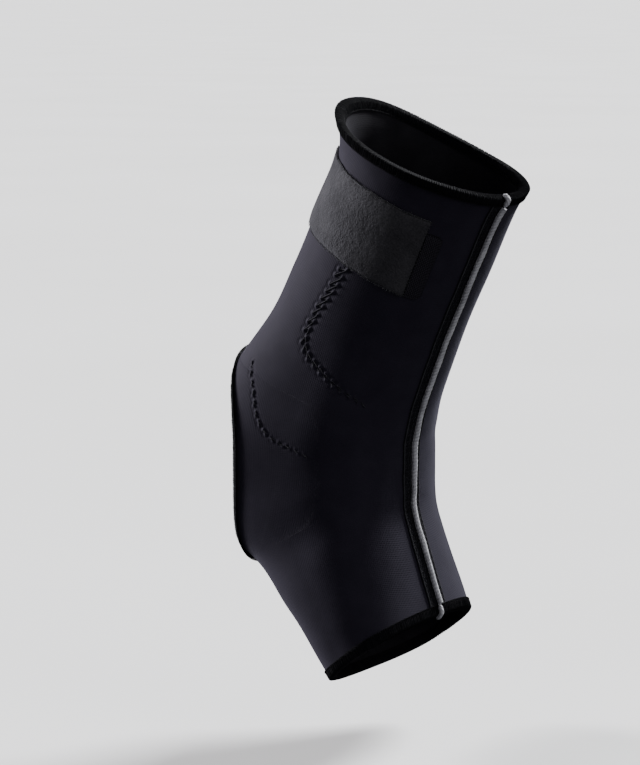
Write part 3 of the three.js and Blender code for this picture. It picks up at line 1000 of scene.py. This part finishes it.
def make_fuzz():
    """Fine fibres that stand out of the strap's edges, its end and its face."""
    random = np.random.default_rng(5)
    shape = Shape()

    def fibres(across, angles, lean, length):
        """Fibres at shares of the strap's width and angles, each leaning over the width by lean."""
        count = len(across)
        steps = np.linspace(0, 1, 4)[None]
        curl = random.normal(0, FIBRE_CURL, (count, 1)) * steps ** 2
        distance = STRAP_BELOW_TOP + STRAP_WIDTH * across[:, None] + lean[:, None] * steps + curl
        swing = random.normal(0, FIBRE_SWING, (count, 1)) * steps
        lift = CLEARANCE + STRAP_WALL * 0.55 + length[:, None] * steps * (1.2 - 0.5 * steps)
        paths = leg_patch(distance, angles[:, None] + swing, lift)
        aside = np.cross(paths[:, -1] - paths[:, 0], (0.3, 0.9, 0.2))[:, None]
        tubes(shape, paths, FIBRE_RADIUS, aside, sides=3)

    count = EDGE_FIBRES
    for edge, direction in ((0.01, -1), (0.99, 1)):
        angles = random.uniform(STRAP_END_ANGLE, STRAP_FURTHEST, count)
        fibres(np.full(count, edge), angles,
               direction * random.uniform(0.25, 0.9, count), random.uniform(-0.1, 0.5, count))
    count = END_FIBRES
    fibres(random.uniform(0, 1, count), STRAP_END_ANGLE - random.uniform(0, 0.9, count),
           random.uniform(-0.4, 0.4, count), random.uniform(0, 0.6, count))
    count = FACE_FIBRES
    fibres(random.uniform(0.02, 0.98, count),
           random.uniform(STRAP_END_ANGLE + 1, STRAP_FURTHEST - 1, count),
           random.normal(0, 0.5, count), random.uniform(0.55, 0.95, count))
    return make_object("strap_fibres", shape, FUZZ, "calf_strap")


ANCHOR_ROWS = (3, 6.5)  # from the strap's inner end
ANCHOR_PITCH = 2.8
ANCHOR_STITCH = 2.3


def degrees_round(length):
    """The angle in degrees that a length takes up round the leg."""
    return math.degrees(length / (LEG_WIDTH / 2))


def sew_strap():
    """Two rows of stitches that hold the strap's inner end to the sleeve."""
    shape = Shape()
    lift = CLEARANCE + STRAP_WALL + 0.05
    at = STRAP_BELOW_TOP + np.arange(2, STRAP_WIDTH - 3, ANCHOR_PITCH)
    for inset in ANCHOR_ROWS:
        angle = STRAP_FURTHEST - degrees_round(inset)
        a, b = leg_patch(at, angle, lift), leg_patch(at + ANCHOR_STITCH, angle, lift)
        stitches(shape, a, b, normals(below_top(at), math.radians(angle)), rise=0.12, dive=0.25, radius=0.2)
    return make_object("strap_stitching", shape, SEWING, "calf_strap")


def make_tab():
    """The hook tab beside the strap's end, level with its lower edge, its far corners rounded."""
    reach = degrees_round(TAB_LENGTH)
    end = STRAP_END_ANGLE - 2 * degrees_round(CLEARANCE)
    middle = STRAP_BELOW_TOP + STRAP_WIDTH - TAB_WIDTH / 2
    along = np.linspace(end, end - reach, 24)[None]
    across = np.linspace(-1, 1, 30)[:, None]
    corner = 1 - 0.12 * ((end - along) / reach) ** 6
    shape = Shape()
    leg_slab(shape, middle + TAB_WIDTH / 2 * across * corner, along,
             rounded(across, 14, TAB_EDGE, TAB_WALL))
    return make_object("hook_patch", shape, HOOKS, "hook_tab")


sleeve = make_sleeve()
curve_threads = sew_curves(sleeve)
seam_threads = sew_inner_seam()
make_edging("top_edging", "top_binding", top_route, RIM_BINDING_DEPTH, seed=1)
make_edging("toe_edging", "toe_binding", toe_route, RIM_BINDING_DEPTH, seed=2)
make_edging("heel_edging", "heel_binding", heel_route, HEEL_BINDING_DEPTH, seed=3)
tape = make_tape()
tape_threads = sew_tape()
tape_edges = make_selvedges()
make_piping()
make_piping_ends()
strap = make_strap()
fuzz = make_fuzz()
strap_threads = sew_strap()
make_tab()


# The floor, lights and camera.
# Their sizes are in metres and degrees.
FLOOR_HALF = 60
FLOOR_LEVEL = -0.122


def make_floor():
    """A wide pale floor below the brace, which is held up over it."""
    mesh = bpy.data.meshes.new("floor")
    signs = ((-1, -1), (1, -1), (1, 1), (-1, 1))
    corners = [(x * FLOOR_HALF, y * FLOOR_HALF, FLOOR_LEVEL) for x, y in signs]
    mesh.from_pydata(corners, [], [(0, 1, 2, 3)])
    dark, light = (0.8, 0.8, 0.79), (0.84, 0.84, 0.835)
    material, tree, shader = new_material("floor_paint", light, 0.75)
    set_color(tree, shader, noise(tree, size=400, detail=2), (0.3, dark), (0.7, light))
    mesh.materials.append(material)
    floor = bpy.data.objects.new("floor", mesh)
    bpy.context.scene.collection.objects.link(floor)
    floor.visible_diffuse = False
    floor.visible_glossy = False


def away(azimuth, elevation):
    """The direction from the brace at an azimuth, 0 towards -Y and 90 towards +X, and an elevation."""
    a, e = math.radians(azimuth), math.radians(elevation)
    return Vector((math.sin(a) * math.cos(e), -math.cos(a) * math.cos(e), math.sin(e)))


def add_light(name, azimuth, elevation, strength, softness, color):
    """A soft studio light from far off."""
    light = bpy.data.lights.new(name, "SUN")
    light.energy = strength
    light.angle = math.radians(softness)
    light.color = color
    lamp = bpy.data.objects.new(name, light)
    bpy.context.scene.collection.objects.link(lamp)
    lamp.rotation_mode = "QUATERNION"
    lamp.rotation_quaternion = away(azimuth, elevation).to_track_quat("Z", "Y")


CAMERA_AZIMUTH = 32
CAMERA_ELEVATION = 8
CAMERA_DISTANCE = 1.2
CAMERA_LENS = 134.4
CAMERA_RIGHT = -0.0042
CAMERA_UP = 0.02415


def make_camera():
    """The camera at the photo's angle."""
    data = bpy.data.cameras.new("camera")
    data.sensor_width = 36
    data.lens = CAMERA_LENS
    data.clip_end = 200
    camera = bpy.data.objects.new("camera", data)
    bpy.context.scene.collection.objects.link(camera)
    back = away(CAMERA_AZIMUTH, CAMERA_ELEVATION)
    right = away(CAMERA_AZIMUTH + 90, 0)
    up = back.cross(right)
    camera.matrix_world = Matrix.LocRotScale(
        back * CAMERA_DISTANCE + right * CAMERA_RIGHT + up * CAMERA_UP,
        Matrix((right, up, back)).transposed(), None)
    bpy.context.scene.camera = camera


def make_world():
    """A dim room, paler towards the horizon."""
    world = bpy.data.worlds.new("studio")
    world.use_nodes = True
    tree = world.node_tree
    direction = add_node(tree, "ShaderNodeTexCoord").outputs["Generated"]
    height = add_node(tree, "ShaderNodeSeparateXYZ", {0: direction}).outputs[2]
    share = maths(tree, "MULTIPLY_ADD", height, 0.5, 0.5)
    sky = ramp(tree, share, (0, (0.07, 0.07, 0.08)), (0.49, (0.1, 0.1, 0.11)),
               (0.51, (0.6, 0.6, 0.61)), (0.6, (0.14, 0.14, 0.15)), (1, (0.1, 0.1, 0.11)))
    tree.links.new(sky, tree.nodes["Background"].inputs[0])
    bpy.context.scene.world = world


make_floor()
add_light("key", azimuth=-84, elevation=22, strength=6.5, softness=20, color=(1, 0.98, 1))
add_light("rim", azimuth=170, elevation=40, strength=7, softness=20, color=(0.97, 0.98, 1))
add_light("front", azimuth=80, elevation=30, strength=0.45, softness=30, color=(1, 1, 1))
make_world()
make_camera()
